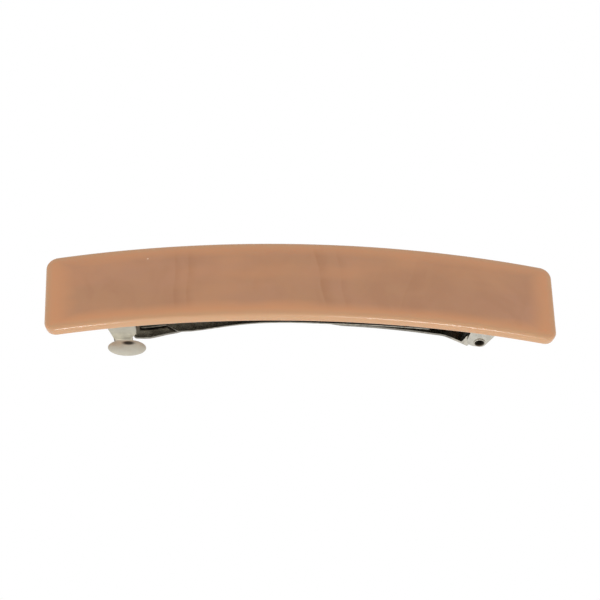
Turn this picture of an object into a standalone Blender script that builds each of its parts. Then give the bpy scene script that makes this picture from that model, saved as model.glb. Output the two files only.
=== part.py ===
"""A hair barrette: a curved acetate bar on a sprung metal clip.

The bar is a slab rolled to an arc. The clip hangs under it: a stamped base plate glued to the
bar, two legs at its left end that hold the closing arm, an arm hinged on a tubular rivet at its
right end, and a thin tension bar carried on the arm.

Everything is worked out in millimetres in the bar's own frame: X along the bar towards the
hinge, Y across it, Z up through its face, with zero inside the bar's crown, half its thickness
down. Pieces that follow the bar are drawn flat as (s, w, depth): s along the bar's underside, w
across it, depth down from it. At the end every mesh is lifted so that the clip's lowest edge
stands on z = 0, and is scaled to metres.
"""
import math

import bmesh
import bpy
import numpy as np
from mathutils import Matrix, Vector

MM = 0.001

# Acetate bar
BAR_CHORD = 79.6
BAR_WIDTH = 14.3
BAR_THICK = 2.0
BAR_EDGE_THICK = 1.78
MID_RADIUS = 153.1
CORNER_RADIUS = 1.9
RIM_RADIUS = 0.6
BOTTOM_RADIUS = 0.5
PILLOW_WIDTH = 1.8
PILLOW_RINGS = 2

UNDER_RADIUS = MID_RADIUS - BAR_THICK / 2
BAR_LENGTH = 2 * UNDER_RADIUS * math.asin(BAR_CHORD / 2 / MID_RADIUS)

# Gaps between pieces that rest on each other or turn on each other
REST_GAP = 0.02
PRESS_GAP = 0.02
RUNNING_GAP = 0.04
ROOT_GAP = 0.04

# Glue bed
GLUE_THICK = 0.15
GLUE_LENGTH = 58.0
GLUE_HALF_WIDTH = 2.6
GLUE_CORNER = 1.0

# Base plate, a channel with a bent ear on each side at the hinge and a short skirt at the catch
BASE_TOP = REST_GAP + GLUE_THICK + REST_GAP
BASE_THICK = 0.45
BASE_HALF_WIDTH = 4.0
BASE_NECK_HALF_WIDTH = 3.1
BASE_FROM = -32.6
BASE_TO = 33.6
BASE_END_RADIUS = 1.6
BASE_SHOULDER_RADIUS = 0.4
BASE_HOLE_RADIUS = 0.9
BASE_HOLE_AT = 21.5
BASE_HOLE_STEPS = 18
BASE_RELIEF = 0.35
BEND_RADIUS = 0.85
SKIRT_MARGIN = 0.1

# Hinge: ears, rivet and the arm's cheeks all share this axis (x, z)
PIN_X = 28.4
PIN_Z = -9.62
PIN_RADIUS = 0.82
PIN_BORE_RADIUS = 0.68
PIN_MOUTH_RADIUS = 0.76
PIN_MOUTH_DEPTH = 0.15
PIN_LIP_RADIUS = 0.9
PIN_LIP_THICK = 0.1
PIN_LIP_ROUNDING = 0.04
PIN_STEPS = 40
PIN_HOLE_STEPS = 24
EAR_THICK = BASE_THICK
EAR_BOTTOM_DEPTH = 6.9
EAR_LEFT = 27.55
EAR_RIGHT = 31.7
EAR_RIGHT_LOW = 30.65
EAR_SHOULDER_DEPTH = 3.4
EAR_LEFT_CORNER = 1.4
EAR_RIGHT_CORNER = 0.9
EAR_SHOULDER_RADIUS = 1.2
EAR_TOP = 0.2

# Catch legs, one each side, turning on the bottom edge of the base plate's skirts
LEG_THICK = 0.45
LEG_LEFT = -31.05
LEG_RIGHT = -26.6
LEG_ROOT_DEPTH = 1.3
LEG_WAIST_DEPTH = 3.9
LEG_HIP_DEPTH = 4.85
NECK_LEFT = -30.62
NECK_LEFT_DEPTH = 6.2
NECK_RIGHT = -27.6
NECK_RIGHT_DEPTH = 6.65
LEG_END_DEPTH = 7.3
LEG_BEND = 0.2
PADDLE_X = -27.0
PADDLE_Z = -11.41
PADDLE_Y = 4.95
PADDLE_HALF_LENGTH = 3.0
PADDLE_HALF_DEPTH = 1.26
PADDLE_TILT = 31.0
PADDLE_NECK_LEFT = -1.85
PADDLE_NECK_RIGHT = 0.9
PADDLE_NECK_REACH = 1.5
PADDLE_STEPS = 36

# Hooks inside the legs: down through the arm's window, barb outward under its rail
HOOK_X = -28.07
HOOK_THICK = 0.45
HOOK_TOP = -8.7
HOOK_BRIDGE = 0.8
HOOK_INNER = 0.8
HOOK_SHANK = 0.5
HOOK_BOTTOM = -11.85
HOOK_CHAMFER = 0.3
HOOK_TIP_CHAMFER = 0.1
HOOK_FILLET = 0.2
BARB_TOP = -11.05
BARB_HEIGHT = 0.25
BARB_CLEARANCE = 0.05

# Closing arm: a strip whose underside follows the (x, z) points, wide at both ends
ARM_THICK = 0.4
ARM_TIP = -29.15
ARM_SHOULDER = -25.95
ARM_ROOT_END = 26.9
ARM_TIP_HALF_WIDTH = 2.9
ARM_HEAD_HALF_WIDTH = 3.48
ARM_WAIST_HALF_WIDTH = 2.6
ARM_BODY_HALF_WIDTH = 3.3
ARM_EDGE = (
    # x, half width, corner radius
    (ARM_TIP, ARM_TIP_HALF_WIDTH, 1.3), (ARM_SHOULDER, ARM_TIP_HALF_WIDTH, 0.0),
    (ARM_SHOULDER, ARM_HEAD_HALF_WIDTH, 0.5), (-23.4, ARM_HEAD_HALF_WIDTH, 1.5), (-19.2, 3.1, 0.5),
    (-17.4, ARM_WAIST_HALF_WIDTH, 0.8), (1.0, ARM_WAIST_HALF_WIDTH, 3.0),
    (6.5, ARM_BODY_HALF_WIDTH, 3.0), (ARM_ROOT_END, ARM_BODY_HALF_WIDTH, 0.3),
)
ARM_UNDERSIDE = (
    (-29.3, -10.5), (-25.3, -10.95), (-23.7, -10.9), (-20.4, -10.05), (-15.7, -9.2), (-10.0, -7.65),
    (-5.0, -6.9), (1.0, -6.7), (7.0, -6.9), (14.0, -7.55), (20.5, -8.6), (23.1, -9.2),
    (24.5, -10.05), (27.0, -11.65),
)
WINDOW_FROM = -28.6
WINDOW_TO = -27.5
WINDOW_HALF_WIDTH = 1.5
WINDOW_CORNER = 0.2

# Cheeks, the arm's edges turned up round the rivet between the ears
CHEEK_THICK = 0.4
CHEEK_OUTER = 3.35
CHEEK_RADIUS = 1.35
CHEEK_ROUND_FROM = 75
CHEEK_ROUND_TO = -150
CHEEK_ROUND_STEPS = 20
CHEEK_FROM = 25.5
CHEEK_ROOT_INSET = 0.1
CHEEK_ROOT_STEPS = 5
CHEEK_NOTCH = (26.95, -10.4)
CHEEK_SLOPE = ((25.9, -9.9), (26.4, -8.75), (26.8, -8.0), (27.4, -7.75))

# Tension bar: a thinner strip over the arm, with a tab at each end down through a slot in it
TENSION_THICK = 0.25
TENSION_HALF_WIDTH = 3.5
TENSION_FROM = -19.1
TENSION_TO = 20.35
TENSION_SHOULDER = 1.8
TONGUE_HALF_WIDTH = 1.9
TONGUE_LEFT = -25.05
TONGUE_RIGHT = 22.6
TENSION_EDGE = (
    # x, half width, corner radius
    (TONGUE_LEFT, TONGUE_HALF_WIDTH, 0.4), (TENSION_FROM - TENSION_SHOULDER, TONGUE_HALF_WIDTH, 0.6),
    (TENSION_FROM, TENSION_HALF_WIDTH, 0.4), (TENSION_TO, TENSION_HALF_WIDTH, 0.3),
    (TENSION_TO, TONGUE_HALF_WIDTH, 0.0), (TONGUE_RIGHT, TONGUE_HALF_WIDTH, 0.4),
)
TENSION_UNDERSIDE = (
    (-25.3, -10.37), (-24.2, -10.27), (-21.4, -9.6), (-19.2, -9.0), (-17.2, -8.8), (-14.1, -8.05),
    (-11.0, -7.2), (-7.9, -6.55), (-4.8, -6.2), (-1.7, -6.07), (4.6, -6.2), (12.4, -6.5),
    (18.8, -7.0), (20.4, -7.15), (23.0, -7.9),
)
TAB_INSET = 0.45
TAB_HALF_WIDTH = 0.9
TAB_REACH = 0.3
TAB_CORNER = 0.2
SLOT_CLEARANCE = 0.12

# Length of one facet along each rolled or bowed piece, and the least angle of an edge shown sharp
BAR_FACET = 2.0
STRIP_FACET = 1.6
SHARP_ANGLE = 32

# How far a cutting shape runs past what it cuts
CUT_MARGIN = 1.0

COLLECTION = "barrette"
CUTTERS = "cutters"

ACETATE = ("peach_acetate", (0.50, 0.25, 0.15), 0.0, 0.15)
GLUE = ("clear_glue", (0.75, 0.72, 0.62), 0.0, 0.4)
NICKEL = ("nickel_plated_steel", (0.72, 0.70, 0.66), 1.0, 0.2)
SPRING_STEEL = ("spring_steel", (0.55, 0.52, 0.48), 1.0, 0.3)


# ---------------------------------------------------------------- scene and materials

def clear_scene():
    for obj in list(bpy.data.objects):
        bpy.data.objects.remove(obj)


def collection(name):
    made = bpy.data.collections.new(name)
    bpy.context.scene.collection.children.link(made)
    return made


def material(name, colour, metallic, roughness):
    made = bpy.data.materials.new(name)
    made.use_nodes = True
    shader = made.node_tree.nodes["Principled BSDF"]
    shader.inputs["Base Color"].default_value = (*colour, 1.0)
    shader.inputs["Metallic"].default_value = metallic
    shader.inputs["Roughness"].default_value = roughness
    return made


# ---------------------------------------------------------------- outlines

def arc(centre, radius, start, end, steps=8):
    """Points on a circle from one angle to another, in degrees."""
    angles = [math.radians(start + (end - start) * i / steps) for i in range(steps + 1)]
    return [(centre[0] + radius * math.cos(a), centre[1] + radius * math.sin(a)) for a in angles]


def circle(centre, radius, steps):
    """A closed outline of that many points round a circle."""
    return arc(centre, radius, 0, 360 - 360 / steps, steps - 1)


def rounded(points, radii, steps=5):
    """A closed outline with each corner replaced by an arc of the radius given for it."""
    outline = []
    for i, corner in enumerate(points):
        here = Vector(corner)
        back = (Vector(points[i - 1]) - here).normalized()
        ahead = (Vector(points[(i + 1) % len(points)]) - here).normalized()
        if radii[i] <= 0.0:
            outline.append(tuple(here))
            continue
        half = back.angle(ahead) / 2
        centre = here + (back + ahead).normalized() * radii[i] / math.sin(half)
        start = here + back * radii[i] / math.tan(half) - centre
        end = here + ahead * radii[i] / math.tan(half) - centre
        sweep = start.angle_signed(end)
        for step in range(steps + 1):
            spoke = start.copy()
            spoke.rotate(Matrix.Rotation(-sweep * step / steps, 2))
            outline.append(tuple(centre + spoke))
    return outline


def rectangle(x_from, x_to, half_width, radius=0.0):
    corners = [(x_from, -half_width), (x_to, -half_width), (x_to, half_width), (x_from, half_width)]
    return rounded(corners, [radius] * len(corners))


def mirrored(edge):
    """A rounded outline from its +Y side, as (x, half width, corner radius) from end to end."""
    corners = [(x, w) for x, w, _ in edge] + [(x, -w) for x, w, _ in reversed(edge)]
    radii = [radius for _, _, radius in edge]
    return rounded(corners, radii + radii[::-1])


# ---------------------------------------------------------------- meshes

def plate(outlines, thick):
    """A flat plate in XY, centred on z = 0. Outlines after the first are holes."""
    curve = bpy.data.curves.new("outline", "CURVE")
    curve.dimensions = "2D"
    curve.fill_mode = "BOTH"
    curve.extrude = thick / 2
    for outline in outlines:
        spline = curve.splines.new("POLY")
        spline.points.add(len(outline) - 1)
        for point, (x, y) in zip(spline.points, outline):
            point.co = (x, y, 0.0, 1.0)
        spline.use_cyclic_u = True
    holder = bpy.data.objects.new("outline", curve)
    bpy.context.scene.collection.objects.link(holder)
    evaluated = holder.evaluated_get(bpy.context.evaluated_depsgraph_get())
    mesh = bpy.data.meshes.new_from_object(evaluated)
    bpy.data.objects.remove(holder)
    bpy.data.curves.remove(curve)
    mesh.materials.clear()
    return edited(mesh, weld)


def edited(mesh, *steps):
    """Run bmesh steps on a mesh and leave its faces pointing out."""
    bm = bmesh.new()
    bm.from_mesh(mesh)
    for step in steps:
        step(bm)
    bmesh.ops.recalc_face_normals(bm, faces=bm.faces)
    if bm.calc_volume(signed=True) < 0:
        bmesh.ops.reverse_faces(bm, faces=bm.faces)
    bm.to_mesh(mesh)
    bm.free()
    return mesh


def weld(bm):
    bmesh.ops.remove_doubles(bm, verts=bm.verts, dist=1e-5)


def moved(mesh, matrix):
    mesh.transform(matrix)
    return mesh


def side_plate(outline, y_from, y_to):
    """A plate drawn in XZ and standing between two values of y."""
    mesh = plate([outline], y_to - y_from)
    upright = Matrix.Rotation(math.radians(90), 4, "X")
    return moved(mesh, Matrix.Translation((0, (y_from + y_to) / 2, 0)) @ upright)


def cross_plate(outline, x_from, x_to):
    """A plate drawn in YZ and standing between two values of x."""
    mesh = plate([outline], x_to - x_from)
    upright = Matrix(((0, 0, 1, 0), (1, 0, 0, 0), (0, 1, 0, 0), (0, 0, 0, 1)))
    return moved(mesh, Matrix.Translation(((x_from + x_to) / 2, 0, 0)) @ upright)


def combined(mesh, others, operation):
    """A mesh after an exact boolean with each of the others in turn."""
    holder = bpy.data.objects.new("working", mesh)
    bpy.context.scene.collection.objects.link(holder)
    for other in others:
        cutter = bpy.data.objects.new("cutter", other)
        cutters.objects.link(cutter)
        cutter.hide_render = True
        cutter.display_type = "WIRE"
        modifier = holder.modifiers.new("cut", "BOOLEAN")
        modifier.operation = operation
        modifier.object = cutter
        modifier.solver = "EXACT"
        evaluated = holder.evaluated_get(bpy.context.evaluated_depsgraph_get())
        holder.data = bpy.data.meshes.new_from_object(evaluated)
        holder.modifiers.clear()
        bpy.data.objects.remove(cutter)
    result = holder.data
    bpy.data.objects.remove(holder)
    return edited(result, weld)


def faceted(mesh, x_from, x_to, facet):
    """Cut a flat shape across at regular stations, so that it can be rolled or bowed."""
    count = max(1, round((x_to - x_from) / facet))

    def cut(bm):
        bmesh.ops.dissolve_limit(bm, verts=bm.verts, edges=bm.edges, angle_limit=math.radians(0.5))
        for i in range(1, count):
            geometry = bm.verts[:] + bm.edges[:] + bm.faces[:]
            station = x_from + (x_to - x_from) * i / count
            bmesh.ops.bisect_plane(
                bm, geom=geometry, dist=1e-5, plane_co=(station, 0, 0), plane_no=(1, 0, 0))

    return edited(mesh, cut)


def mapped(mesh, mapping):
    """Move every vertex through a mapping, after flat faces are split so they can bend."""
    def bend(bm):
        bmesh.ops.triangulate(bm, faces=bm.faces)
        for vert in bm.verts:
            vert.co = mapping(*vert.co)

    return edited(mesh, bend)


# ---------------------------------------------------------------- the two ways a sheet is bent

def on_arc(s, w, height):
    """Roll a flat point onto the bar's arc. Height is measured up from the bar's underside."""
    angle = s / UNDER_RADIUS
    radius = UNDER_RADIUS + height
    return Vector((radius * math.sin(angle), w, radius * math.cos(angle) - MID_RADIUS))


def smooth_line(points):
    """A smooth curve through points given as (x, z), and its slope, as functions of x."""
    xs = np.array([p[0] for p in points])
    zs = np.array([p[1] for p in points])
    slopes = np.gradient(zs, xs)

    def evaluate(x):
        i = int(np.clip(np.searchsorted(xs, x) - 1, 0, len(xs) - 2))
        span = xs[i + 1] - xs[i]
        t = (x - xs[i]) / span
        value = ((2 * t**3 - 3 * t**2 + 1) * zs[i] + (t**3 - 2 * t**2 + t) * span * slopes[i]
                 + (3 * t**2 - 2 * t**3) * zs[i + 1] + (t**3 - t**2) * span * slopes[i + 1])
        slope = ((6 * t**2 - 6 * t) * (zs[i] - zs[i + 1]) / span + (3 * t**2 - 4 * t + 1) * slopes[i]
                 + (3 * t**2 - 2 * t) * slopes[i + 1])
        return value, slope

    return evaluate


def along(line):
    """A mapping that lays a flat strip on a line in XZ, thickness at right angles to it."""
    def mapping(x, w, t):
        z, slope = line(x)
        length = math.hypot(1.0, slope)
        return Vector((x - t * slope / length, w, z + t / length))

    return mapping


arm_line = smooth_line([(x, z + ARM_THICK / 2) for x, z in ARM_UNDERSIDE])
tension_line = smooth_line([(x, z + TENSION_THICK / 2) for x, z in TENSION_UNDERSIDE])


# ---------------------------------------------------------------- parts, in millimetres

def acetate_bar():
    bm = bmesh.new()
    bmesh.ops.create_cube(bm, size=1.0)
    bmesh.ops.scale(bm, vec=(BAR_LENGTH, BAR_WIDTH, BAR_EDGE_THICK), verts=bm.verts)
    bmesh.ops.translate(bm, vec=(0, 0, BAR_EDGE_THICK / 2), verts=bm.verts)

    upright = [e for e in bm.edges if abs(e.verts[0].co.z - e.verts[1].co.z) > BAR_EDGE_THICK / 2]
    bmesh.ops.bevel(bm, geom=upright, offset=CORNER_RADIUS, segments=8, profile=0.5, affect="EDGES")

    def rim(z):
        return [e for e in bm.edges if all(abs(v.co.z - z) < 1e-4 for v in e.verts)]

    for height, radius, segments in ((BAR_EDGE_THICK, RIM_RADIUS, 4), (0.0, BOTTOM_RADIUS, 2)):
        bmesh.ops.bevel(
            bm, geom=rim(height), offset=radius, segments=segments, profile=0.5, affect="EDGES")

    rise = BAR_THICK - BAR_EDGE_THICK
    bm.normal_update()
    top = [f for f in bm.faces if f.normal.z > 0.99 and f.calc_center_median().z > BAR_EDGE_THICK - 1e-4]
    for ring in range(PILLOW_RINGS):
        outside = 1 - ring / PILLOW_RINGS
        inside = 1 - (ring + 1) / PILLOW_RINGS
        bmesh.ops.inset_region(
            bm, faces=top, thickness=(PILLOW_WIDTH - RIM_RADIUS) / PILLOW_RINGS,
            depth=rise * (outside**2 - inside**2), use_even_offset=True)

    mesh = bpy.data.meshes.new("acetate_bar")
    bm.to_mesh(mesh)
    bm.free()
    half = BAR_LENGTH / 2
    return mapped(faceted(mesh, -half, half, BAR_FACET), on_arc)


def glue_bed():
    outline = rectangle(-GLUE_LENGTH / 2, GLUE_LENGTH / 2, GLUE_HALF_WIDTH, GLUE_CORNER)
    flat = plate([outline], GLUE_THICK)
    moved(flat, Matrix.Translation((0, 0, -REST_GAP - GLUE_THICK / 2)))
    return mapped(faceted(flat, -GLUE_LENGTH / 2, GLUE_LENGTH / 2, BAR_FACET), on_arc)


def channel(s_from, s_to, depth):
    """A flat length of U channel under the bar, with rounded bends and walls down to a depth."""
    outer = BASE_HALF_WIDTH
    inner = outer - EAR_THICK
    top = -BASE_TOP
    web = top - BASE_THICK
    bend_in = BEND_RADIUS - BASE_THICK
    outline = [(-outer, -depth)]
    outline += arc((-outer + BEND_RADIUS, top - BEND_RADIUS), BEND_RADIUS, 180, 90)
    outline += arc((outer - BEND_RADIUS, top - BEND_RADIUS), BEND_RADIUS, 90, 0)
    outline += [(outer, -depth), (inner, -depth)]
    outline += arc((inner - bend_in, web - bend_in), bend_in, 0, 90, 4)
    outline += arc((-inner + bend_in, web - bend_in), bend_in, 90, 180, 4)
    outline += [(-inner, -depth)]
    return cross_plate(outline, s_from, s_to)


def ear_profile():
    """Side view of the ears as (s, z): upright on the left, sloping in on the right."""
    corners = [
        (EAR_LEFT, EAR_TOP), (EAR_LEFT, -EAR_BOTTOM_DEPTH), (EAR_RIGHT_LOW, -EAR_BOTTOM_DEPTH),
        (EAR_RIGHT, -EAR_SHOULDER_DEPTH), (EAR_RIGHT, EAR_TOP),
    ]
    return rounded(corners, [0, EAR_LEFT_CORNER, EAR_RIGHT_CORNER, EAR_SHOULDER_RADIUS, 0])


def pin_hole(radius):
    half = BASE_HALF_WIDTH + CUT_MARGIN
    return side_plate(circle((PIN_X, PIN_Z), radius, PIN_HOLE_STEPS), -half, half)


def base_plate():
    neck = BASE_NECK_HALF_WIDTH
    wide = BASE_HALF_WIDTH
    skirt_from = LEG_LEFT - SKIRT_MARGIN
    skirt_to = LEG_RIGHT + SKIRT_MARGIN
    wide_from = skirt_to + BASE_RELIEF
    wide_to = EAR_LEFT - BASE_RELIEF
    edge = [
        (BASE_FROM, neck, BASE_END_RADIUS), (wide_from, neck, 0), (wide_from, wide, BASE_SHOULDER_RADIUS),
        (wide_to, wide, BASE_SHOULDER_RADIUS), (wide_to, neck, 0), (BASE_TO, neck, BASE_END_RADIUS),
    ]
    places = (-BASE_HOLE_AT, BASE_HOLE_AT)
    holes = [circle((s, 0), BASE_HOLE_RADIUS, BASE_HOLE_STEPS) for s in places]
    strip = plate([mirrored(edge)] + holes, BASE_THICK)
    moved(strip, Matrix.Translation((0, 0, -BASE_TOP - BASE_THICK / 2)))

    walls = channel(EAR_LEFT, EAR_RIGHT, EAR_BOTTOM_DEPTH)
    span = BASE_HALF_WIDTH + CUT_MARGIN
    ears = combined(walls, [side_plate(ear_profile(), -span, span)], "INTERSECT")
    skirts = channel(skirt_from, skirt_to, LEG_ROOT_DEPTH)
    flat = combined(strip, [ears, skirts], "UNION")
    rolled = mapped(faceted(flat, BASE_FROM, BASE_TO, STRIP_FACET), on_arc)
    return combined(rolled, [pin_hole(PIN_RADIUS + PRESS_GAP)], "DIFFERENCE")


def leg_profile():
    """Side view of a leg as (s, z): wide at the hip, notched above the finger pad."""
    top = -LEG_ROOT_DEPTH - ROOT_GAP
    between = (LEG_HIP_DEPTH + NECK_RIGHT_DEPTH) / 2
    return [
        (LEG_LEFT, top), (LEG_LEFT, -LEG_WAIST_DEPTH), (LEG_LEFT + LEG_BEND, -LEG_HIP_DEPTH),
        (NECK_LEFT, -NECK_LEFT_DEPTH), (NECK_LEFT, -LEG_END_DEPTH), (NECK_RIGHT, -LEG_END_DEPTH),
        (NECK_RIGHT, -NECK_RIGHT_DEPTH), (LEG_RIGHT - LEG_BEND, -between),
        (LEG_RIGHT, -LEG_HIP_DEPTH), (LEG_RIGHT, top),
    ]


def hook_profile():
    """End view of the hook of the leg on the +Y side as (y, z)."""
    root = BASE_HALF_WIDTH - LEG_THICK / 2
    shank_out = HOOK_INNER + HOOK_SHANK
    barb_out = WINDOW_HALF_WIDTH - BARB_CLEARANCE
    bridge_low = HOOK_TOP - HOOK_BRIDGE
    return [
        (root, HOOK_TOP), (HOOK_INNER + HOOK_CHAMFER, HOOK_TOP), (HOOK_INNER, HOOK_TOP - HOOK_CHAMFER),
        (HOOK_INNER, HOOK_BOTTOM + HOOK_TIP_CHAMFER), (HOOK_INNER + HOOK_TIP_CHAMFER, HOOK_BOTTOM),
        (shank_out - HOOK_TIP_CHAMFER, HOOK_BOTTOM), (barb_out, BARB_TOP - BARB_HEIGHT),
        (barb_out, BARB_TOP), (shank_out, BARB_TOP), (shank_out, bridge_low - HOOK_FILLET),
        (shank_out + HOOK_FILLET, bridge_low), (root, bridge_low),
    ]


def paddle():
    """The finger pad of the leg on the +Y side: a tilted oval with a neck running into the leg."""
    start = math.degrees(math.asin(PADDLE_NECK_RIGHT / PADDLE_HALF_LENGTH)) - 90.0
    end = math.degrees(math.asin(-PADDLE_NECK_LEFT / PADDLE_HALF_LENGTH))
    oval = [(PADDLE_HALF_LENGTH * x, PADDLE_HALF_DEPTH * y)
            for x, y in arc((0.0, 0.0), 1.0, start, 270.0 - end, PADDLE_STEPS)]
    outline = oval + [(PADDLE_NECK_LEFT, -PADDLE_NECK_REACH), (PADDLE_NECK_RIGHT, -PADDLE_NECK_REACH)]
    tilt = Matrix.Rotation(math.radians(-PADDLE_TILT), 4, "X")
    return moved(plate([outline], LEG_THICK), Matrix.Translation((PADDLE_X, PADDLE_Y, PADDLE_Z)) @ tilt)


def catch_leg(side):
    """A leg of the catch. Side is +1 for the back leg and -1 for the front one."""
    outer = BASE_HALF_WIDTH
    flat = side_plate(leg_profile(), outer - LEG_THICK, outer)
    rolled = mapped(faceted(flat, LEG_LEFT, LEG_RIGHT, STRIP_FACET), on_arc)
    hook = cross_plate(hook_profile(), HOOK_X - HOOK_THICK / 2, HOOK_X + HOOK_THICK / 2)
    whole = combined(rolled, [hook, paddle()], "UNION")
    if side < 0:
        moved(whole, Matrix.Scale(-1, 4, (0, 1, 0)))
        edited(whole)
    return whole


def cheek_profile():
    """Side view of the arm's cheeks as (x, z): round the pin and back along the arm's root."""
    outline = arc((PIN_X, PIN_Z), CHEEK_RADIUS, CHEEK_ROUND_FROM, CHEEK_ROUND_TO, CHEEK_ROUND_STEPS)
    outline.append(CHEEK_NOTCH)
    root = ARM_ROOT_END - CHEEK_ROOT_INSET
    for step in range(CHEEK_ROOT_STEPS + 1):
        x = root + (CHEEK_FROM - root) * step / CHEEK_ROOT_STEPS
        outline.append((x, arm_line(x)[0]))
    return outline + list(CHEEK_SLOPE)


def tongue_slot(x, clearance):
    half_length = TENSION_THICK / 2 + clearance
    return rectangle(x - half_length, x + half_length, TAB_HALF_WIDTH + clearance, TAB_CORNER / 2)


def tab_places():
    """Where the tension bar's two end tabs go down through the arm."""
    return (TONGUE_LEFT + TAB_INSET, TONGUE_RIGHT - TAB_INSET)


def closing_arm():
    holes = [rectangle(WINDOW_FROM, WINDOW_TO, WINDOW_HALF_WIDTH, WINDOW_CORNER)]
    holes += [tongue_slot(x, SLOT_CLEARANCE) for x in tab_places()]
    flat = plate([mirrored(ARM_EDGE)] + holes, ARM_THICK)
    strip = mapped(faceted(flat, ARM_TIP, ARM_ROOT_END, STRIP_FACET / 2), along(arm_line))
    inner = CHEEK_OUTER - CHEEK_THICK
    spans = ((inner, CHEEK_OUTER), (-CHEEK_OUTER, -inner))
    cheeks = [side_plate(cheek_profile(), *span) for span in spans]
    whole = combined(strip, cheeks, "UNION")
    return combined(whole, [pin_hole(PIN_RADIUS + RUNNING_GAP)], "DIFFERENCE")


def tension_bar():
    flat = plate([mirrored(TENSION_EDGE)], TENSION_THICK)
    strip = mapped(faceted(flat, TONGUE_LEFT, TONGUE_RIGHT, STRIP_FACET), along(tension_line))
    tabs = []
    for x in tab_places():
        top = tension_line(x)[0]
        bottom = arm_line(x)[0] - ARM_THICK / 2 - TAB_REACH
        outline = rounded(
            [(-TAB_HALF_WIDTH, bottom), (TAB_HALF_WIDTH, bottom), (TAB_HALF_WIDTH, top),
             (-TAB_HALF_WIDTH, top)], [TAB_CORNER, TAB_CORNER, 0, 0])
        tabs.append(cross_plate(outline, x - TENSION_THICK / 2, x + TENSION_THICK / 2))
    return combined(strip, tabs, "UNION")


def turned(profile, steps):
    """A closed profile of (radius, height) swept once round the Z axis."""
    mesh = bpy.data.meshes.new("profile")
    count = len(profile)
    mesh.from_pydata(
        [(radius, 0.0, height) for radius, height in profile],
        [(i, (i + 1) % count) for i in range(count)], [])
    holder = bpy.data.objects.new("turning", mesh)
    bpy.context.scene.collection.objects.link(holder)
    modifier = holder.modifiers.new("turn", "SCREW")
    modifier.axis = "Z"
    modifier.angle = 2 * math.pi
    modifier.steps = steps
    modifier.render_steps = steps
    modifier.use_merge_vertices = True
    modifier.merge_threshold = 0.0001
    evaluated = holder.evaluated_get(bpy.context.evaluated_depsgraph_get())
    result = bpy.data.meshes.new_from_object(evaluated)
    bpy.data.objects.remove(holder)
    return edited(result, weld)


def hinge_rivet():
    """A tube with a flared lip at each end, turned about the pin's axis."""
    ear_face = BASE_HALF_WIDTH + PRESS_GAP
    lip_face = ear_face + PIN_LIP_THICK
    half = [
        (PIN_BORE_RADIUS, lip_face - PIN_MOUTH_DEPTH), (PIN_MOUTH_RADIUS, lip_face),
        (PIN_LIP_RADIUS - PIN_LIP_ROUNDING, lip_face), (PIN_LIP_RADIUS, lip_face - PIN_LIP_ROUNDING),
        (PIN_LIP_RADIUS, ear_face), (PIN_RADIUS, ear_face),
    ]
    profile = half + [(radius, -height) for radius, height in reversed(half)]
    lying = Matrix.Rotation(math.radians(90), 4, "X")
    return moved(turned(profile, PIN_STEPS), Matrix.Translation((PIN_X, 0, PIN_Z)) @ lying)


# ---------------------------------------------------------------- assembly, in metres

def leg_pivot(side):
    """The middle of the inner bottom edge of a skirt, about which its leg turns."""
    middle = (LEG_LEFT + LEG_RIGHT) / 2
    return on_arc(middle, side * (BASE_HALF_WIDTH - LEG_THICK), -LEG_ROOT_DEPTH - ROOT_GAP)


def add_part(name, mesh, look, origin, lift):
    """Put a millimetre mesh in the scene in metres, with its origin at a millimetre point."""
    mesh.transform(Matrix.Translation(-Vector(origin)))
    mesh.transform(Matrix.Scale(MM, 4))
    mesh.name = name
    mesh.materials.clear()
    mesh.materials.append(material(name + "_" + look[0], *look[1:]))
    mesh.shade_smooth()
    mesh.set_sharp_from_angle(angle=math.radians(SHARP_ANGLE))
    obj = bpy.data.objects.new(name, mesh)
    obj.location = (Vector(origin) + Vector((0, 0, lift))) * MM
    parts.objects.link(obj)
    return obj


def build():
    pin = (PIN_X, 0.0, PIN_Z)
    shapes = [
        ("acetate_bar", acetate_bar(), ACETATE, (0, 0, 0)),
        ("glue_bed", glue_bed(), GLUE, (0, 0, 0)),
        ("base_plate", base_plate(), NICKEL, (0, 0, 0)),
        ("catch_leg_front", catch_leg(-1), NICKEL, leg_pivot(-1)),
        ("catch_leg_back", catch_leg(1), NICKEL, leg_pivot(1)),
        ("closing_arm", closing_arm(), NICKEL, pin),
        ("tension_bar", tension_bar(), SPRING_STEEL, pin),
        ("hinge_rivet", hinge_rivet(), NICKEL, pin),
    ]
    lowest = min(vert.co.z for _, mesh, _, _ in shapes for vert in mesh.vertices)
    made = {name: add_part(name, mesh, look, origin, -lowest) for name, mesh, look, origin in shapes}
    bpy.context.view_layer.update()
    made["tension_bar"].parent = made["closing_arm"]
    made["tension_bar"].matrix_parent_inverse = made["closing_arm"].matrix_world.inverted()


clear_scene()
parts = collection(COLLECTION)
cutters = collection(CUTTERS)
build()
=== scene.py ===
"""Looks of the barrette: a glossy marbled acetate bar on a nickel-plated clip.

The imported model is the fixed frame. The bar is replaced by a finely rounded one on the same arc;
the metal pieces keep their shapes and get stamped, plated surfaces. The frame's own axes are X
along the bar, Y across it and Z up. Lengths are metres, or mm where a comment says so.
"""
import math

import bmesh
import bpy
from mathutils import Matrix, Vector


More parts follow.
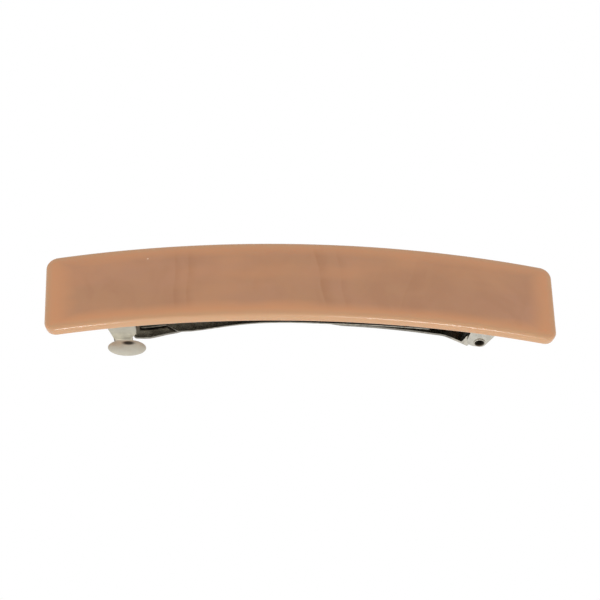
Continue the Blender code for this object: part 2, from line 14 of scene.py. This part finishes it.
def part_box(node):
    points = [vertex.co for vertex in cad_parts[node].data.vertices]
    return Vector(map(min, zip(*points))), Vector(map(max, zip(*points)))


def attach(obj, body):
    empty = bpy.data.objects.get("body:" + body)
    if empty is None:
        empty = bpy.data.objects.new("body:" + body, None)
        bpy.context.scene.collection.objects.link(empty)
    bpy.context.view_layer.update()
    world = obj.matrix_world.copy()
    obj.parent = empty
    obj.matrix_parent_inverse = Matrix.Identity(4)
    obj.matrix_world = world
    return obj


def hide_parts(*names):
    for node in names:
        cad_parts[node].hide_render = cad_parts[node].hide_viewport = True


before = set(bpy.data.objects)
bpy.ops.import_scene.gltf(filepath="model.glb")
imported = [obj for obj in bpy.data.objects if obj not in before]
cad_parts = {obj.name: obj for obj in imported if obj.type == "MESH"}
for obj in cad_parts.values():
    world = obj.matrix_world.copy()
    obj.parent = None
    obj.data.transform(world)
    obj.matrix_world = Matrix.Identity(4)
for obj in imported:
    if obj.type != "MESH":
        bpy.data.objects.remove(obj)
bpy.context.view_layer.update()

MM = 0.001


def srgb(red, green, blue):
    """A linear colour from 0-255 display values."""
    def channel(value):
        value /= 255.0
        return value / 12.92 if value <= 0.04045 else ((value + 0.055) / 1.055) ** 2.4
    return (channel(red), channel(green), channel(blue), 1.0)


def grey(level):
    """A neutral linear colour."""
    return (level, level, level, 1.0)


# ---------------------------------------------------------------- bar: shape

BAR_LOW, BAR_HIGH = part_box("acetate_bar")
HALF_WIDTH = (BAR_HIGH.y - BAR_LOW.y) / 2
BAR_THICK = 2.0 * MM
MID_RADIUS = 153.1 * MM
BAR_CHORD = 79.6 * MM
UNDER_RADIUS = MID_RADIUS - BAR_THICK / 2
HALF_LENGTH = UNDER_RADIUS * math.asin(BAR_CHORD / 2 / MID_RADIUS)
CROWN_Z = BAR_HIGH.z - BAR_THICK / 2
ARC_CENTRE_Z = CROWN_Z - MID_RADIUS

# Outline corners, and how finely the outline and the bar's length are divided
CORNER_RADIUS = 1.9 * MM
LEAST_CORNER_RADIUS = 0.5 * MM
CORNER_STEPS = 12
SIDE_STEPS = 80
END_STEPS = 14
STATIONS = 80

# Cross-section, in mm: the rounded bottom edge, the side, the rounded rim and the pillowed face
CROWN = BAR_THICK / MM
BOTTOM_RADIUS = 0.5
BOTTOM_STEPS = 6
SIDE_TOP = 1.16
RIM_RADIUS = 0.63
RIM_SLOPE = math.radians(10.0)
RIM_STEPS = 10
PILLOW_WIDTH = 3.0
PILLOW_STEPS = 14

# Distances within which points count as one, and the angle above which an edge stays sharp
CUT_MERGE = 1e-8
BAR_MERGE = 1e-7
BAR_CREASE = math.radians(40)

# ---------------------------------------------------------------- bar: looks

BODY_BROWN = srgb(186, 137, 101)
BODY_ROSE = srgb(187, 137, 105)
BODY_DARK = srgb(181, 131, 97)
# Painted light: the orange glow inside the bar's edges and the pale rim on its cut edges
PAINTED_GLOW_ORANGE = srgb(206, 147, 104)
PAINTED_RIM_LIGHT = srgb(197, 153, 114)
VEIN_BROWN = srgb(168, 114, 76)
SPECK_PALE = srgb(232, 205, 178)

# Widths in mm of the painted orange glow inside the bar's long edges and ends, which stands for
# light passing through the thin acetate there, and of the painted pale rim outside it, which
# stands for light on the bar's cut edges
GLOW_NEAR = 3.4
GLOW_FAR = 4.2
GLOW_END = 6.5
PALE_RIM = 1.5
PALE_FROM = 0.05

# Noises over the bar: stretch per mm, detail, distortion, the two levels between which the noise
# is eased, and what it gives at each of them
ROSE_PATCHES = ((0.045, 0.11, 0.1), 2.0, 0.8, (0.35, 0.68), (0.0, 1.0))
DARK_CLOUDS = ((0.13, 0.09, 0.1), 2.0, 1.2, (0.42, 0.7), (0.0, 0.8))
BROKEN_VEINS = ((0.1, 0.3, 0.0), 2.0, 0.0, (0.3, 0.6), (0.35, 1.0))
SPECKLES = ((2.2, 2.2, 2.2), 1.0, 0.0, (0.76, 0.82), (0.0, 0.2))
GLOW_DRIFT = ((0.09, 0.2, 0.2), 2.0, 0.0, (0.3, 0.7), (0.85, 1.25))
BAR_ROUGHNESS = ((1.4, 1.4, 1.4), 3.0, 0.0, (0.3, 0.7), (0.19, 0.24))

# Veins across the bar, in mm: place along it, lean, width, strength. Each has one sharp edge.
VEINS = (
    (-19.6, 0.0, 1.3, 0.32),
    (-17.6, 0.02, 1.4, 0.36),
    (2.7, -0.155, 2.2, 0.45),
    (5.9, -0.12, 1.5, 0.22),
    (16.5, 0.3, 5.0, 0.16),
)
VEIN_WOBBLE = (0.0, 0.16, 0.0)
MEAN_WOBBLE = 0.5
VEIN_EDGE = (-0.3, 0.1)

# One pale speck, in mm
SPECK_PLACE = (-23.85, 4.6, 0.0)
SPECK_RADIUS = 0.17
SPECK_STRENGTH = 0.8

# Light inside the acetate, and the slow swell of its polished surface
ACETATE_IOR = 1.48
GLOW_THROUGH = 0.2
GLOW_REACH = (1.2 * MM, 0.6 * MM, 0.35 * MM)
SWELL = (0.12, 0.4, 0.4)
SWELL_STRENGTH = 0.1
SWELL_DEPTH = 0.05 * MM

# ---------------------------------------------------------------- metal

# Welding distance, the angles up to which faces are one plane, above which an edge is broken and
# above which it stays sharp, and the form of a broken edge
METAL_MERGE = 1e-6
SAME_PLANE = math.radians(0.25)
BROKEN_EDGE = math.radians(40)
METAL_CREASE = math.radians(30)
EDGE_SEGMENTS = 2
EDGE_PROFILE = 0.6

# Plating surface, with noise stretches per mm: a ripple, fine grain along Z, and stain marks
RIPPLE_DETAIL = 3.0
RIPPLE_DISTORTION = 0.5
GRAIN = (14.0, 14.0, 3.0)
GRAIN_DETAIL = 2.0
GRAIN_SHARE = 0.12
PLATE_DEPTH = 0.03 * MM
MARKS_SIZE = 1.1
MARKS_DETAIL = 4.0
MARKS_DISTORTION = 0.4
STAIN_LEVELS = (0.36, 0.62)
WORN_LEVELS = (0.3, 0.7)
WORN_ROUGHNESS = 1.5

# Where the painted shade and the roughness change: by the upward part of a face's direction, and
# by place along X in mm
FACES_UP = (0.5, 0.8)
FACES_DOWN = (-0.6, -0.4)
SHEARED_FACES = (0.3, 0.5)
ARM_ROOT = (19.6, 21.0)
ARM_SHANK = (23.5, 25.0)

# The rivet's bore, shaded between two radii, and the bend of each leg's finger pad, in mm
BORE_SHADE = (0.74 * MM, 0.83 * MM)
# Painted shade inside the rivet's bore
BORE_SHADE_COLOUR = srgb(112, 104, 92)
BEND_PLACE = (26.8, 4.42, 1.4)
BEND_SIZE = (1.35, 0.42, 0.42)
BEND_FADE = (0.35, 1.0)
# Painted dark reflection where each leg's finger pad bends out
BEND_REFLECTION_DARK = srgb(75, 72, 66)

PLATINGS = {
    "nickel_plate": dict(
        tint=srgb(196, 192, 181), roughness=0.2, stain=0.86,
        ripple=0.3, ripple_scale=(0.9, 0.9, 0.5)),
    "rivet_plate": dict(
        tint=srgb(190, 185, 174), roughness=0.42, stain=0.86,
        ripple=0.2, ripple_scale=(0.9, 0.9, 0.5)),
    # Painted light and shade: the legs' tint is brighter, and edge_shade dims their upright faces,
    # so the finger pads are painted lit and the necks painted shaded
    "leg_plate": dict(
        tint=srgb(211, 206, 191), roughness=0.32, stain=0.95,
        ripple=0.08, ripple_scale=(0.6, 0.6, 0.4), edge_shade=0.69),
    # Painted shade on the arm: top_shade under the bar, root_shade by the hinge, edge_shade on its
    # upright faces
    "arm_plate": dict(
        tint=srgb(200, 194, 181), roughness=0.2, stain=0.72,
        ripple=0.5, ripple_scale=(1.2, 0.9, 0.5),
        top_shade=0.42, root_shade=0.1, edge_shade=0.5),
    # Painted shade: the spring strip's tint is darker than the nickel's, as it lies under the bar,
    # and top_shade darkens its upper faces further
    "sprung_plate": dict(
        tint=srgb(160, 155, 143), roughness=0.2, stain=0.6,
        ripple=0.9, ripple_scale=(1.6, 0.8, 0.8),
        top_shade=0.5, edge_roughness=0.5),
}

# Node, body it rides, material slot, plating, and width in mm by which its edges are broken
METAL_PIECES = (
    ("base_plate", "frame", "nickel_plate", "nickel_plate", 0.05),
    ("hinge_rivet", "frame", "nickel_plate", "rivet_plate", 0.0),
    ("catch_leg_front", "front_leg", "nickel_plate", "leg_plate", 0.06),
    ("catch_leg_back", "back_leg", "nickel_plate", "leg_plate", 0.06),
    ("closing_arm", "arm", "nickel_plate", "arm_plate", 0.05),
    ("tension_bar", "spring_strip", "spring_steel", "sprung_plate", 0.06),
)

GLUE_CREAM = srgb(225, 215, 190)
GLUE_ROUGHNESS = 0.35

# ---------------------------------------------------------------- stage

# Brightness of the floor as seen and as reflected, and of the tent round the object
FLOOR_HEIGHT = -60.0 * MM
FLOOR_SIZE = 6.0
FLOOR_SEEN = 1.0
FLOOR_REFLECTED = 0.27
FLOOR_ALBEDO = 0.85
TENT_HORIZON = 0.80
TENT_ZENITH = 0.72

# Lamps stand at two turns, in degrees from straight in front towards +X. At each there is a
# softbox that lights the object and a lower strip that is mirrored in it.
LAMP_DISTANCE = 0.85
LAMP_TURNS = {"left": -19.5, "right": 14.5}
SOFTBOX_ELEVATION = 25.0
SOFTBOX_SIZE = (0.34, 0.12)
SOFTBOX_POWER = 1.2
STRIP_ELEVATION = 10.0
STRIP_SIZE = (0.19, 0.15)
STRIP_POWER = 2.1

# Camera: its elevation, the object's turn and tip under it in degrees, its distance from the
# crown, the width it sees there, its shift as a share of the picture, and its sensor in mm
VIEW_ELEVATION = 52.0
VIEW_TURN = 1.357
VIEW_TIP = 3.598
VIEW_DISTANCE = 459.3 * MM
VIEW_WIDTH = 93.16 * MM
VIEW_SHIFT = (-0.0047, -0.0308)
SENSOR = 36.0
NEAR_CLIP = 10.0 * MM


# ---------------------------------------------------------------- node helper

class Nodes:
    """A short way to add and join shader nodes in one material."""

    def __init__(self, name):
        self.material = bpy.data.materials.new(name)
        self.material.use_nodes = True
        self.tree = self.material.node_tree
        self.shader = self.tree.nodes["Principled BSDF"]

    def add(self, kind):
        """A new node."""
        return self.tree.nodes.new(kind)

    def feed(self, value, target):
        """Join a socket to an input, or set the input to a plain value."""
        if isinstance(value, bpy.types.NodeSocket):
            self.tree.links.new(value, target)
        else:
            target.default_value = value

    def put(self, name, value):
        """Feed one of the material's main inputs."""
        self.feed(value, self.shader.inputs[name])

    def base_colour(self):
        """What feeds the base colour so far."""
        return self.shader.inputs["Base Color"].links[0].from_socket

    def calc(self, operation, first, second=0.0, third=0.0):
        """Arithmetic on plain values."""
        node = self.add("ShaderNodeMath")
        node.operation = operation
        for value, target in zip((first, second, third), node.inputs):
            self.feed(value, target)
        return node.outputs[0]

    def smooth(self, value, levels, results=(0.0, 1.0)):
        """A value eased from one result to the other as it goes from one level to the other."""
        node = self.add("ShaderNodeMapRange")
        node.interpolation_type = "SMOOTHSTEP"
        for given, target in zip((value, *levels, *results), node.inputs):
            self.feed(given, target)
        return node.outputs["Result"]

    def attribute(self, name):
        """The outputs for something stored on the mesh under a name."""
        node = self.add("ShaderNodeAttribute")
        node.attribute_name = name
        return node.outputs

    def coordinate(self, name):
        """A point's place or direction in the frame at rest, whatever the pose."""
        return self.add("ShaderNodeTexCoord").outputs[name]

    def place_in_mm(self):
        """A point's place at rest, in mm."""
        return self.scaled(self.coordinate("Object"), (1 / MM, 1 / MM, 1 / MM))

    def split(self, vector):
        """The three parts of a vector."""
        node = self.add("ShaderNodeSeparateXYZ")
        self.feed(vector, node.inputs["Vector"])
        return node.outputs

    def scaled(self, vector, scale):
        """A vector with each part multiplied."""
        node = self.add("ShaderNodeMapping")
        node.inputs["Scale"].default_value = scale
        self.feed(vector, node.inputs["Vector"])
        return node.outputs["Vector"]

    def vector(self, operation, first, second=None):
        """Vector arithmetic. A length or a distance comes out as a plain value."""
        node = self.add("ShaderNodeVectorMath")
        node.operation = operation
        self.feed(first, node.inputs[0])
        if second is not None:
            self.feed(second, node.inputs[1])
        return node.outputs["Value" if operation in ("LENGTH", "DISTANCE") else "Vector"]

    def noise(self, vector, size=1.0, detail=2.0, distortion=0.0):
        """Noise with values round 0.5."""
        node = self.add("ShaderNodeTexNoise")
        self.feed(vector, node.inputs["Vector"])
        for name, value in (("Scale", size), ("Detail", detail), ("Distortion", distortion)):
            node.inputs[name].default_value = value
        return node.outputs["Fac"]

    def patches(self, place, stretch, detail, distortion, levels, results):
        """Noise over stretched places, eased between two levels."""
        value = self.noise(self.scaled(place, stretch), 1.0, detail, distortion)
        return self.smooth(value, levels, results)

    def mix(self, factor, first, second):
        """A blend of two colours."""
        node = self.add("ShaderNodeMix")
        node.data_type = "RGBA"
        self.feed(factor, node.inputs[0])
        self.feed(first, node.inputs[6])
        self.feed(second, node.inputs[7])
        return node.outputs[2]

    def choose(self, factor, first, second):
        """One of two shaders."""
        node = self.add("ShaderNodeMixShader")
        self.feed(factor, node.inputs[0])
        self.feed(first, node.inputs[1])
        self.feed(second, node.inputs[2])
        return node.outputs[0]

    def bump(self, height, strength, distance):
        """Roughen the surface by a height."""
        node = self.add("ShaderNodeBump")
        node.inputs["Strength"].default_value = strength
        node.inputs["Distance"].default_value = distance
        self.feed(height, node.inputs["Height"])
        self.put("Normal", node.outputs["Normal"])


def added(name, data):
    """A new object in the scene."""
    piece = bpy.data.objects.new(name, data)
    bpy.context.scene.collection.objects.link(piece)
    return piece


def finished(bm, name, crease):
    """A smoothly shaded object made from a bmesh, with edges above an angle kept sharp."""
    mesh = bpy.data.meshes.new(name)
    bm.to_mesh(mesh)
    bm.free()
    mesh.shade_smooth()
    mesh.set_sharp_from_angle(angle=crease)
    return added(name, mesh)


# ---------------------------------------------------------------- acetate bar

def rounded_loop(half_length, half_width, radius):
    """Points round a rounded rectangle, anticlockwise, the same number whatever its size."""
    far_x = half_length - radius
    far_y = half_width - radius
    corners = ((far_x, far_y, 0), (-far_x, far_y, 90), (-far_x, -far_y, 180), (far_x, -far_y, 270))
    points = []
    for index, (x, y, start) in enumerate(corners):
        for step in range(CORNER_STEPS + 1):
            angle = math.radians(start + 90 * step / CORNER_STEPS)
            points.append(Vector((x + radius * math.cos(angle), y + radius * math.sin(angle))))
        here = points[-1]
        next_x, next_y, next_start = corners[(index + 1) % 4]
        turn = math.radians(next_start)
        there = Vector((next_x + radius * math.cos(turn), next_y + radius * math.sin(turn)))
        steps = SIDE_STEPS if index % 2 == 0 else END_STEPS
        for step in range(1, steps):
            points.append(here.lerp(there, step / steps))
    return points


def bar_profile():
    """Half cross-section as (distance in from the edge, height), from underneath to the crown."""
    rim_inset = RIM_RADIUS * (1 - math.sin(RIM_SLOPE))
    pillow_drop = CROWN - SIDE_TOP - RIM_RADIUS * math.cos(RIM_SLOPE)
    profile = []
    for step in range(BOTTOM_STEPS + 1):
        angle = math.radians(90 * step / BOTTOM_STEPS)
        height = BOTTOM_RADIUS * (1 - math.cos(angle))
        profile.append((BOTTOM_RADIUS * (1 - math.sin(angle)), height))
    profile.append((0.0, (BOTTOM_RADIUS + SIDE_TOP) / 2))
    for step in range(RIM_STEPS + 1):
        angle = (math.pi / 2 - RIM_SLOPE) * step / RIM_STEPS
        height = SIDE_TOP + RIM_RADIUS * math.sin(angle)
        profile.append((RIM_RADIUS * (1 - math.cos(angle)), height))
    for step in range(1, PILLOW_STEPS + 1):
        inset = rim_inset + (PILLOW_WIDTH - rim_inset) * step / PILLOW_STEPS
        share = (PILLOW_WIDTH - inset) / (PILLOW_WIDTH - rim_inset)
        profile.append((inset, CROWN - pillow_drop * share**2))
    return [(inset * MM, height * MM) for inset, height in profile]


def on_arc(point):
    """Roll a flat point, measured along the bar's underside, onto the bar's arc."""
    angle = point.x / UNDER_RADIUS
    radius = UNDER_RADIUS + point.z
    return Vector((radius * math.sin(angle), point.y, ARC_CENTRE_Z + radius * math.cos(angle)))


def acetate_bar():
    """The bar, built flat and rolled onto its arc, with its flat places stored on the mesh."""
    bm = bmesh.new()
    loops = []
    for inset, height in bar_profile():
        corner = max(CORNER_RADIUS - inset, LEAST_CORNER_RADIUS)
        outline = rounded_loop(HALF_LENGTH - inset, HALF_WIDTH - inset, corner)
        loops.append([bm.verts.new((point.x, point.y, height)) for point in outline])
    count = len(loops[0])
    for low, high in zip(loops, loops[1:]):
        for i in range(count):
            j = (i + 1) % count
            bm.faces.new((low[i], low[j], high[j], high[i]))
    bm.faces.new(list(reversed(loops[0])))
    bm.faces.new(loops[-1])
    for i in range(1, STATIONS):
        place = -HALF_LENGTH + 2 * HALF_LENGTH * i / STATIONS
        bmesh.ops.bisect_plane(
            bm, geom=bm.verts[:] + bm.edges[:] + bm.faces[:], dist=CUT_MERGE,
            plane_co=(place, 0, 0), plane_no=(1, 0, 0))
    side = bm.verts.layers.float.new("side_distance")
    end = bm.verts.layers.float.new("end_distance")
    flat = bm.verts.layers.float_vector.new("flat_place")
    for vert in bm.verts:
        vert[side] = (HALF_WIDTH - abs(vert.co.y)) / MM
        vert[end] = (HALF_LENGTH - abs(vert.co.x)) / MM
        vert[flat] = vert.co / MM
        vert.co = on_arc(vert.co)
    bmesh.ops.remove_doubles(bm, verts=bm.verts, dist=BAR_MERGE)
    return finished(bm, "acetate_bar_polished", BAR_CREASE)


def marbled(nodes, flat):
    """Brown body colour with rosy patches, darker clouds, broken veins and fine speckles."""
    along, across, _ = nodes.split(flat)
    body = nodes.mix(nodes.patches(flat, *ROSE_PATCHES), BODY_BROWN, BODY_ROSE)
    body = nodes.mix(nodes.patches(flat, *DARK_CLOUDS), body, BODY_DARK)
    wobble = nodes.noise(nodes.scaled(flat, VEIN_WOBBLE), detail=1.0)
    broken = nodes.patches(flat, *BROKEN_VEINS)
    for place, lean, width, strength in VEINS:
        line = nodes.calc("MULTIPLY_ADD", across, -lean, along)
        line = nodes.calc("ADD", line, wobble)
        offset = nodes.calc("SUBTRACT", line, place + MEAN_WOBBLE)
        sharp = nodes.smooth(offset, VEIN_EDGE)
        soft = nodes.smooth(offset, (0.0, width), (1.0, 0.0))
        shape = nodes.calc("MULTIPLY", nodes.calc("MULTIPLY", sharp, soft), broken)
        body = nodes.mix(nodes.calc("MULTIPLY", shape, strength), body, VEIN_BROWN)
    return nodes.mix(nodes.patches(flat, *SPECKLES), body, VEIN_BROWN)


def acetate_material():
    """Peach-brown acetate, faintly marbled, with painted light: an orange glow towards its rims
    for light through the thin acetate, then a paler rim for light on its cut edges.
    """
    nodes = Nodes("marbled_acetate")
    side = nodes.attribute("side_distance")["Fac"]
    end = nodes.attribute("end_distance")["Fac"]
    flat = nodes.attribute("flat_place")["Vector"]
    across = nodes.split(flat)[1]

    drift = nodes.patches(flat, *GLOW_DRIFT)
    from_side = nodes.calc("MULTIPLY", side, drift)
    from_end = nodes.calc("MULTIPLY", end, drift)
    reach = nodes.smooth(across, (-1.0, 1.0), (GLOW_NEAR, GLOW_FAR))
    near_side = nodes.smooth(from_side, (PALE_RIM / 2, reach), (1.0, 0.0))
    near_end = nodes.smooth(from_end, (PALE_RIM, GLOW_END), (1.0, 0.0))
    near_edge = nodes.calc("MAXIMUM", near_side, near_end)
    # Painted light: an orange glow towards the edges, then a paler rim on the cut edges
    glow = nodes.mix(near_edge, marbled(nodes, flat), PAINTED_GLOW_ORANGE)
    inside = nodes.smooth(nodes.calc("MINIMUM", side, end), (PALE_FROM, PALE_RIM))
    colour = nodes.mix(inside, PAINTED_RIM_LIGHT, glow)

    seen_from_above = nodes.scaled(flat, (1.0, 1.0, 0.0))
    from_speck = nodes.vector("DISTANCE", seen_from_above, SPECK_PLACE)
    speck = nodes.smooth(from_speck, (SPECK_RADIUS / 2, SPECK_RADIUS), (SPECK_STRENGTH, 0.0))
    nodes.put("Base Color", nodes.mix(speck, colour, SPECK_PALE))

    nodes.put("Roughness", nodes.patches(flat, *BAR_ROUGHNESS))
    nodes.put("IOR", ACETATE_IOR)
    nodes.put("Subsurface Weight", GLOW_THROUGH)
    nodes.put("Subsurface Radius", GLOW_REACH)
    nodes.put("Subsurface Scale", 1.0)
    swell = nodes.noise(nodes.scaled(flat, SWELL), detail=1.0)
    nodes.bump(swell, SWELL_STRENGTH, SWELL_DEPTH)
    return nodes.material


# ---------------------------------------------------------------- metal and glue

def refined(node, edge_width):
    """A CAD piece with its facets welded, its edges softly broken and its faces smooth."""
    bm = bmesh.new()
    bm.from_mesh(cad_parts[node].data)
    bmesh.ops.remove_doubles(bm, verts=bm.verts, dist=METAL_MERGE)
    bmesh.ops.dissolve_limit(bm, verts=bm.verts, edges=bm.edges, angle_limit=SAME_PLANE)
    if edge_width:
        paired = [edge for edge in bm.edges if len(edge.link_faces) == 2]
        sharp = [edge for edge in paired if edge.calc_face_angle() > BROKEN_EDGE]
        bmesh.ops.bevel(
            bm, geom=sharp, offset=edge_width, segments=EDGE_SEGMENTS, profile=EDGE_PROFILE,
            affect="EDGES", clamp_overlap=True)
    return finished(bm, node + "_finished", METAL_CREASE)


def plated(name, tint, roughness, stain, ripple, ripple_scale, top_shade=1.0, root_shade=1.0,
           edge_shade=1.0, edge_roughness=0.0):
    """Bright plating over stamped sheet: a rippled reflection, faint stain and fine grain.

    Painted shade: faces that point up at rest, which lie close under the bar, are darkened by
    top_shade, and further by root_shade towards the hinge, as shade under the bar. Upright faces
    short of the hinge are dimmed by edge_shade, painted shade by face direction. Faces that don't
    point up are at least as rough as edge_roughness.
    """
    nodes = Nodes(name)
    place = nodes.place_in_mm()
    along = nodes.split(place)[0]
    upward = nodes.split(nodes.coordinate("Normal"))[2]

    rippled = nodes.scaled(place, ripple_scale)
    wave = nodes.noise(rippled, 1.0, RIPPLE_DETAIL, RIPPLE_DISTORTION)
    grain = nodes.noise(nodes.scaled(place, GRAIN), 1.0, GRAIN_DETAIL)
    nodes.bump(nodes.calc("MULTIPLY_ADD", grain, GRAIN_SHARE, wave), ripple, PLATE_DEPTH)

    marks = nodes.noise(place, MARKS_SIZE, MARKS_DETAIL, MARKS_DISTORTION)
    stained = tuple(part * stain for part in tint[:3]) + (1.0,)
    colour = nodes.mix(nodes.smooth(marks, STAIN_LEVELS), stained, tint)
    # Painted shade: darker on faces up under the bar, darkest towards the hinge, and dimmer on
    # upright faces short of the shank
    root = nodes.smooth(along, ARM_ROOT, (1.0, root_shade))
    top = nodes.calc("MULTIPLY", root, top_shade)
    upright = nodes.smooth(along, ARM_SHANK, (edge_shade, 1.0))
    other = nodes.smooth(upward, FACES_DOWN, (1.0, upright))
    shade = nodes.smooth(upward, FACES_UP, (other, top))
    nodes.put("Base Color", nodes.mix(shade, grey(0.0), colour))

    nodes.put("Metallic", 1.0)
    worn = nodes.smooth(marks, WORN_LEVELS, (roughness * WORN_ROUGHNESS, roughness))
    sheared = nodes.smooth(upward, SHEARED_FACES, (edge_roughness, 0.0))
    nodes.put("Roughness", nodes.calc("MAXIMUM", worn, sheared))
    return nodes


def paint_bore_shade(nodes):
    """Paint shade inside the rivet's bore onto a plated material, about the rivet's own axis."""
    low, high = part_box("hinge_rivet")
    from_axis = nodes.vector("SUBTRACT", nodes.coordinate("Object"), (low + high) / 2)
    radius = nodes.vector("LENGTH", nodes.scaled(from_axis, (1.0, 0.0, 1.0)))
    outside = nodes.smooth(radius, BORE_SHADE)
    nodes.put("Base Color", nodes.mix(outside, BORE_SHADE_COLOUR, nodes.base_colour()))


def paint_bend_reflection(nodes):
    """Paint a dark reflection onto a leg's plating where its finger pad bends out.

    The place is the same for both legs, because they are mirror images.
    """
    mirrored = nodes.vector("ABSOLUTE", nodes.place_in_mm())
    offset = nodes.vector("SUBTRACT", mirrored, BEND_PLACE)
    distance = nodes.vector("LENGTH", nodes.vector("DIVIDE", offset, BEND_SIZE))
    outside = nodes.smooth(distance, BEND_FADE)
    nodes.put("Base Color", nodes.mix(outside, BEND_REFLECTION_DARK, nodes.base_colour()))


def glue_material():
    """Adhesive, cured to a cream tint."""
    nodes = Nodes("cured_glue")
    nodes.put("Base Color", GLUE_CREAM)
    nodes.put("Roughness", GLUE_ROUGHNESS)
    return nodes.material


def dress(piece, node, body, material):
    """Let a visual piece stand for a CAD node, with its material and body."""
    piece.data.materials.clear()
    piece.data.materials.append(material)
    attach(piece, body)
    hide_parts(node)


# ---------------------------------------------------------------- stage, light and camera

def add_floor():
    """A pale sheet: plain white as seen, softer in reflections, and clear from underneath.

    It lies below the reach of the arm when the arm hangs open.
    """
    bpy.ops.mesh.primitive_plane_add(size=FLOOR_SIZE, location=(0, 0, FLOOR_HEIGHT))
    floor = bpy.context.object
    floor.name = "floor"
    nodes = Nodes("pale_floor")
    nodes.put("Base Color", grey(FLOOR_ALBEDO))
    nodes.put("Roughness", 1.0)
    nodes.put("Specular IOR Level", 0.0)
    nodes.put("Emission Color", grey(1.0))
    nodes.put("Emission Strength", FLOOR_REFLECTED)
    plain = nodes.add("ShaderNodeEmission")
    plain.inputs["Strength"].default_value = FLOOR_SEEN
    clear = nodes.add("ShaderNodeBsdfTransparent")
    seen = nodes.add("ShaderNodeLightPath").outputs["Is Camera Ray"]
    from_below = nodes.add("ShaderNodeNewGeometry").outputs["Backfacing"]
    sheet = nodes.choose(seen, nodes.shader.outputs[0], plain.outputs[0])
    whole = nodes.choose(from_below, sheet, clear.outputs[0])
    nodes.feed(whole, nodes.tree.nodes["Material Output"].inputs["Surface"])
    floor.data.materials.append(nodes.material)


def add_world():
    """White all round, a little dimmer overhead, like a photographer's light tent."""
    world = bpy.data.worlds.new("light_tent")
    bpy.context.scene.world = world
    world.use_nodes = True
    tree = world.node_tree
    place = tree.nodes.new("ShaderNodeTexCoord")
    split = tree.nodes.new("ShaderNodeSeparateXYZ")
    ramp = tree.nodes.new("ShaderNodeValToRGB")
    for element, level in zip(ramp.color_ramp.elements, (TENT_HORIZON, TENT_ZENITH)):
        element.color = grey(level)
    tree.links.new(place.outputs["Generated"], split.inputs["Vector"])
    tree.links.new(split.outputs["Z"], ramp.inputs["Fac"])
    tree.links.new(ramp.outputs["Color"], tree.nodes["Background"].inputs["Color"])


def add_light(name, turn, elevation, size, power, seen_in_gloss):
    """A rectangular lamp facing the object, that either lights it or is mirrored in it."""
    light = bpy.data.lights.new(name, "AREA")
    light.shape = "RECTANGLE"
    light.size, light.size_y = size
    light.energy = power
    holder = added(name, light)
    turn, elevation = math.radians(turn), math.radians(elevation)
    level = math.cos(elevation)
    outward = Vector((math.sin(turn) * level, -math.cos(turn) * level, math.sin(elevation)))
    holder.location = outward * LAMP_DISTANCE
    holder.rotation_euler = (-outward).to_track_quat("-Z", "Y").to_euler()
    holder.visible_glossy = seen_in_gloss
    holder.visible_diffuse = not seen_in_gloss


def add_camera():
    """The camera stands in front and above; the object is tipped and turned slightly under it."""
    camera = bpy.data.cameras.new("camera")
    holder = added("camera", camera)
    camera.sensor_width = SENSOR
    camera.lens = SENSOR * VIEW_DISTANCE / VIEW_WIDTH
    camera.shift_x, camera.shift_y = VIEW_SHIFT
    camera.clip_start = NEAR_CLIP
    elevation = math.radians(VIEW_ELEVATION)
    turn = Matrix.Rotation(math.radians(VIEW_TURN), 3, "Z")
    tip = Matrix.Rotation(math.radians(VIEW_TIP), 3, "Y")
    to_object = (turn @ tip).transposed()
    right = to_object @ Vector((1, 0, 0))
    up = to_object @ Vector((0, math.sin(elevation), math.cos(elevation)))
    back = to_object @ Vector((0, -math.cos(elevation), math.sin(elevation)))
    place = Matrix((right, up, back)).transposed().to_4x4()
    place.translation = Vector((0, 0, CROWN_Z)) + back * VIEW_DISTANCE
    holder.matrix_world = place
    bpy.context.scene.camera = holder


# ---------------------------------------------------------------- build

dress(acetate_bar(), "acetate_bar", "frame", acetate_material())

plates = {name: plated(name, **looks) for name, looks in PLATINGS.items()}
paint_bore_shade(plates["rivet_plate"])
paint_bend_reflection(plates["leg_plate"])
for node, body, slot, plate, edge in METAL_PIECES:
    dress(refined(node, edge * MM), node, body, plates[plate].material)
dress(refined("glue_bed", 0.0), "glue_bed", "frame", glue_material())

add_floor()
add_world()
for side, turn in LAMP_TURNS.items():
    add_light(side + "_softbox", turn, SOFTBOX_ELEVATION, SOFTBOX_SIZE, SOFTBOX_POWER, False)
    add_light(side + "_strip", turn, STRIP_ELEVATION, STRIP_SIZE, STRIP_POWER, True)
add_camera()
bpy.context.scene.view_settings.view_transform = "Standard"
